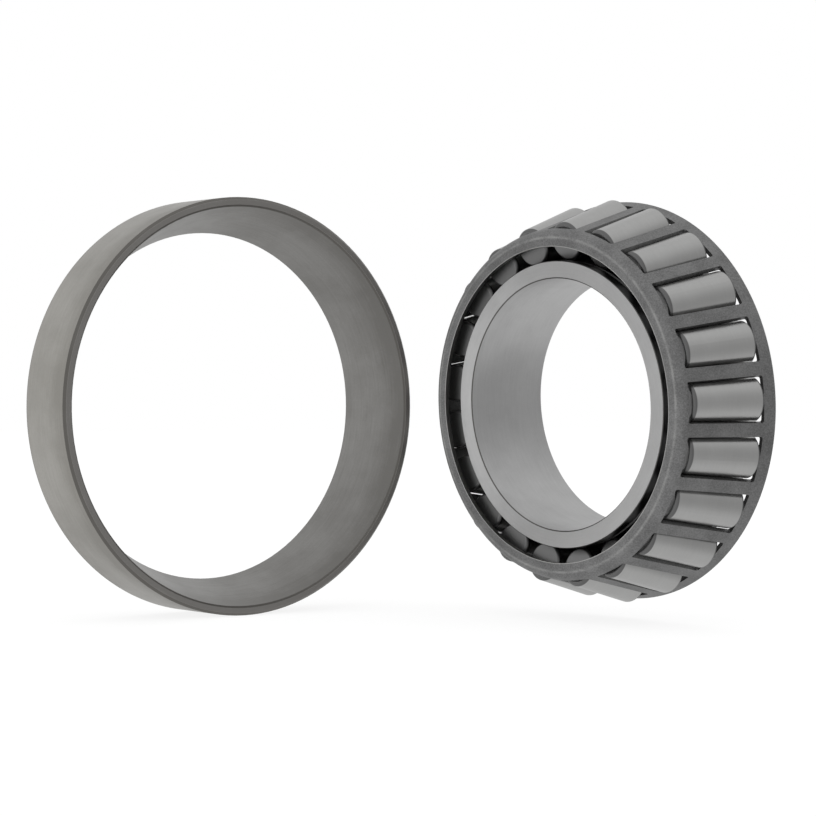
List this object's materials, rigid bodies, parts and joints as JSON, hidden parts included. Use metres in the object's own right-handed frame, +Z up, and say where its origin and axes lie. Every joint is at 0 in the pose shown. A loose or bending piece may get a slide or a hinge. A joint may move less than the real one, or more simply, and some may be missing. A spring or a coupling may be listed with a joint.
{
  "type": "tapered roller bearing",
  "caption": "Single-row tapered roller bearing: an outer ring beside its inner ring, caged rollers and cage, which swing together and seat in it.",
  "frame": {"origin": "centre of the outer ring's housing seat", "axes": "+Y along the outer ring's axis, out of its back face; the wide mouth faces -Y; +Z up; the inner assembly stands at +X, -Y"},
  "size_m": [0.1348, 0.1306, 0.108],
  "materials": {
    "ring_steel": "ground bearing steel, fine turned lay, darker face",
    "inner_ring_steel": "ground bearing steel, satin",
    "cage_steel": "pressed steel, dark phosphate, fine grain",
    "roller_steel": "ground and honed bearing steel"
  },
  "bodies": {
    "outer_ring": {"outer_ring": "ring_steel"},
    "cage": {"cage": "cage_steel"},
    "inner_ring": {"inner_ring": "inner_ring_steel"},
    "roller_01": {"roller_01": "roller_steel"},
    "roller_02": {"roller_02": "roller_steel"},
    "roller_03": {"roller_03": "roller_steel"},
    "roller_04": {"roller_04": "roller_steel"},
    "roller_05": {"roller_05": "roller_steel"},
    "roller_06": {"roller_06": "roller_steel"},
    "roller_07": {"roller_07": "roller_steel"},
    "roller_08": {"roller_08": "roller_steel"},
    "roller_09": {"roller_09": "roller_steel"},
    "roller_10": {"roller_10": "roller_steel"},
    "roller_11": {"roller_11": "roller_steel"},
    "roller_12": {"roller_12": "roller_steel"},
    "roller_13": {"roller_13": "roller_steel"},
    "roller_14": {"roller_14": "roller_steel"},
    "roller_15": {"roller_15": "roller_steel"},
    "roller_16": {"roller_16": "roller_steel"},
    "roller_17": {"roller_17": "roller_steel"},
    "roller_18": {"roller_18": "roller_steel"},
    "roller_19": {"roller_19": "roller_steel"},
    "roller_20": {"roller_20": "roller_steel"},
    "roller_21": {"roller_21": "roller_steel"}
  },
  "joints": [
    {"name": "seat_swing", "type": "hinge", "parent": "outer_ring", "child": "cage", "pos_m": [0.06427, -0.00575, 0], "axis": [0.033, 0.011, -0.9994], "range_deg": [0, 93]},
    {"name": "inner_ring_spin", "type": "hinge", "parent": "cage", "child": "inner_ring", "pos_m": [0.06515, -0.07004, 0.00142], "axis": [0.9976, 0.0522, 0.0445], "continuous": true},
    {"name": "roller_01_spin", "type": "hinge", "parent": "cage", "child": "roller_01", "pos_m": [0.06139, -0.02707, 0.00714], "axis": [0.9429, 0.3236, 0.0795], "continuous": true},
    {"name": "roller_02_spin", "type": "hinge", "parent": "cage", "child": "roller_02", "pos_m": [0.06103, -0.03072, 0.01957], "axis": [0.9405, 0.3004, 0.1585], "continuous": true},
    {"name": "roller_03_spin", "type": "hinge", "parent": "cage", "child": "roller_03", "pos_m": [0.06092, -0.03786, 0.03039], "axis": [0.9399, 0.255, 0.2272], "continuous": true},
    {"name": "roller_04_spin", "type": "hinge", "parent": "cage", "child": "roller_04", "pos_m": [0.06108, -0.04787, 0.03863], "axis": [0.9409, 0.1915, 0.2795], "continuous": true},
    {"name": "roller_05_spin", "type": "hinge", "parent": "cage", "child": "roller_05", "pos_m": [0.06148, -0.05986, 0.04356], "axis": [0.9434, 0.1153, 0.3108], "continuous": true},
    {"name": "roller_06_spin", "type": "hinge", "parent": "cage", "child": "roller_06", "pos_m": [0.06211, -0.07275, 0.04474], "axis": [0.9474, 0.0334, 0.3183], "continuous": true},
    {"name": "roller_07_spin", "type": "hinge", "parent": "cage", "child": "roller_07", "pos_m": [0.06289, -0.08541, 0.04206], "axis": [0.9524, -0.047, 0.3013], "continuous": true},
    {"name": "roller_08_spin", "type": "hinge", "parent": "cage", "child": "roller_08", "pos_m": [0.06376, -0.09672, 0.03577], "axis": [0.9579, -0.1188, 0.2613], "continuous": true},
    {"name": "roller_09_spin", "type": "hinge", "parent": "cage", "child": "roller_09", "pos_m": [0.06464, -0.10565, 0.02642], "axis": [0.9635, -0.1756, 0.2019], "continuous": true},
    {"name": "roller_10_spin", "type": "hinge", "parent": "cage", "child": "roller_10", "pos_m": [0.06546, -0.11143, 0.01484], "axis": [0.9687, -0.2123, 0.1284], "continuous": true},
    {"name": "roller_11_spin", "type": "hinge", "parent": "cage", "child": "roller_11", "pos_m": [0.06614, -0.11354, 0.00207], "axis": [0.973, -0.2257, 0.0472], "continuous": true},
    {"name": "roller_12_spin", "type": "hinge", "parent": "cage", "child": "roller_12", "pos_m": [0.06662, -0.11179, -0.01077], "axis": [0.9761, -0.2146, -0.0343], "continuous": true},
    {"name": "roller_13_spin", "type": "hinge", "parent": "cage", "child": "roller_13", "pos_m": [0.06686, -0.10633, -0.02253], "axis": [0.9776, -0.18, -0.109], "continuous": true},
    {"name": "roller_14_spin", "type": "hinge", "parent": "cage", "child": "roller_14", "pos_m": [0.06684, -0.09766, -0.03217], "axis": [0.9775, -0.1249, -0.1702], "continuous": true},
    {"name": "roller_15_spin", "type": "hinge", "parent": "cage", "child": "roller_15", "pos_m": [0.06655, -0.08654, -0.03882], "axis": [0.9757, -0.0542, -0.2125], "continuous": true},
    {"name": "roller_16_spin", "type": "hinge", "parent": "cage", "child": "roller_16", "pos_m": [0.06603, -0.07396, -0.04191], "axis": [0.9723, 0.0257, -0.2321], "continuous": true},
    {"name": "roller_17_spin", "type": "hinge", "parent": "cage", "child": "roller_17", "pos_m": [0.06532, -0.06103, -0.04115], "axis": [0.9678, 0.1078, -0.2273], "continuous": true},
    {"name": "roller_18_spin", "type": "hinge", "parent": "cage", "child": "roller_18", "pos_m": [0.06449, -0.04892, -0.03662], "axis": [0.9625, 0.1848, -0.1985], "continuous": true},
    {"name": "roller_19_spin", "type": "hinge", "parent": "cage", "child": "roller_19", "pos_m": [0.0636, -0.03868, -0.02871], "axis": [0.9569, 0.2498, -0.1483], "continuous": true},
    {"name": "roller_20_spin", "type": "hinge", "parent": "cage", "child": "roller_20", "pos_m": [0.06274, -0.03124, -0.01813], "axis": [0.9514, 0.2971, -0.081], "continuous": true},
    {"name": "roller_21_spin", "type": "hinge", "parent": "cage", "child": "roller_21", "pos_m": [0.06198, -0.02725, -0.00581], "axis": [0.9466, 0.3224, -0.0028], "continuous": true}
  ],
  "couplings": [
    {"joint": "roller_01_spin", "follows": "inner_ring_spin", "ratio": -7.1131},
    {"joint": "roller_02_spin", "follows": "inner_ring_spin", "ratio": -7.1131},
    {"joint": "roller_03_spin", "follows": "inner_ring_spin", "ratio": -7.1131},
    {"joint": "roller_04_spin", "follows": "inner_ring_spin", "ratio": -7.1131},
    {"joint": "roller_05_spin", "follows": "inner_ring_spin", "ratio": -7.1131},
    {"joint": "roller_06_spin", "follows": "inner_ring_spin", "ratio": -7.1131},
    {"joint": "roller_07_spin", "follows": "inner_ring_spin", "ratio": -7.1131},
    {"joint": "roller_08_spin", "follows": "inner_ring_spin", "ratio": -7.1131},
    {"joint": "roller_09_spin", "follows": "inner_ring_spin", "ratio": -7.1131},
    {"joint": "roller_10_spin", "follows": "inner_ring_spin", "ratio": -7.1131},
    {"joint": "roller_11_spin", "follows": "inner_ring_spin", "ratio": -7.1131},
    {"joint": "roller_12_spin", "follows": "inner_ring_spin", "ratio": -7.1131},
    {"joint": "roller_13_spin", "follows": "inner_ring_spin", "ratio": -7.1131},
    {"joint": "roller_14_spin", "follows": "inner_ring_spin", "ratio": -7.1131},
    {"joint": "roller_15_spin", "follows": "inner_ring_spin", "ratio": -7.1131},
    {"joint": "roller_16_spin", "follows": "inner_ring_spin", "ratio": -7.1131},
    {"joint": "roller_17_spin", "follows": "inner_ring_spin", "ratio": -7.1131},
    {"joint": "roller_18_spin", "follows": "inner_ring_spin", "ratio": -7.1131},
    {"joint": "roller_19_spin", "follows": "inner_ring_spin", "ratio": -7.1131},
    {"joint": "roller_20_spin", "follows": "inner_ring_spin", "ratio": -7.1131},
    {"joint": "roller_21_spin", "follows": "inner_ring_spin", "ratio": -7.1131}
  ]
}
